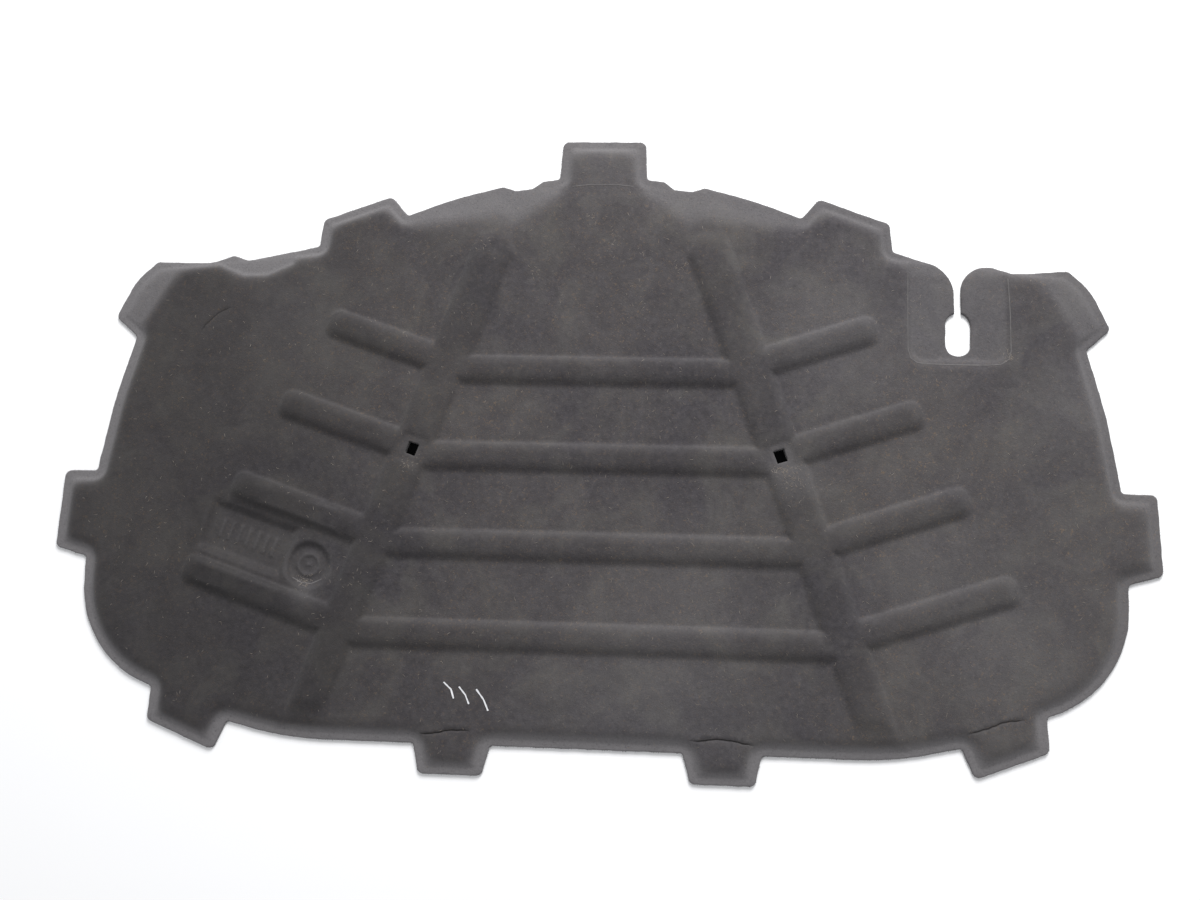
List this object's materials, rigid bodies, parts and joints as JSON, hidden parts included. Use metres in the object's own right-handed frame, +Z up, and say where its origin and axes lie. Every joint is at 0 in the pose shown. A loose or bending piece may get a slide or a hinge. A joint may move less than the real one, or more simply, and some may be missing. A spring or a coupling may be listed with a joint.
{
  "type": "hood insulation pad",
  "caption": "Moulded felt pad that lines the underside of a car hood, with a thin rim, tuck-in edge tabs, a raised net of ribs, clip holes and an edge slot.",
  "frame": {"origin": "middle of the pad's box on its flat back", "axes": "+Z up from the flat back to the ribbed engine side, +Y towards the front tab, +X across to the slot's side"},
  "size_m": [1.15, 0.677, 0.016],
  "materials": {
    "felt": "matte pressed felt"
  },
  "bodies": {
    "root": {"insulation_pad": "felt"}
  },
  "joints": []
}
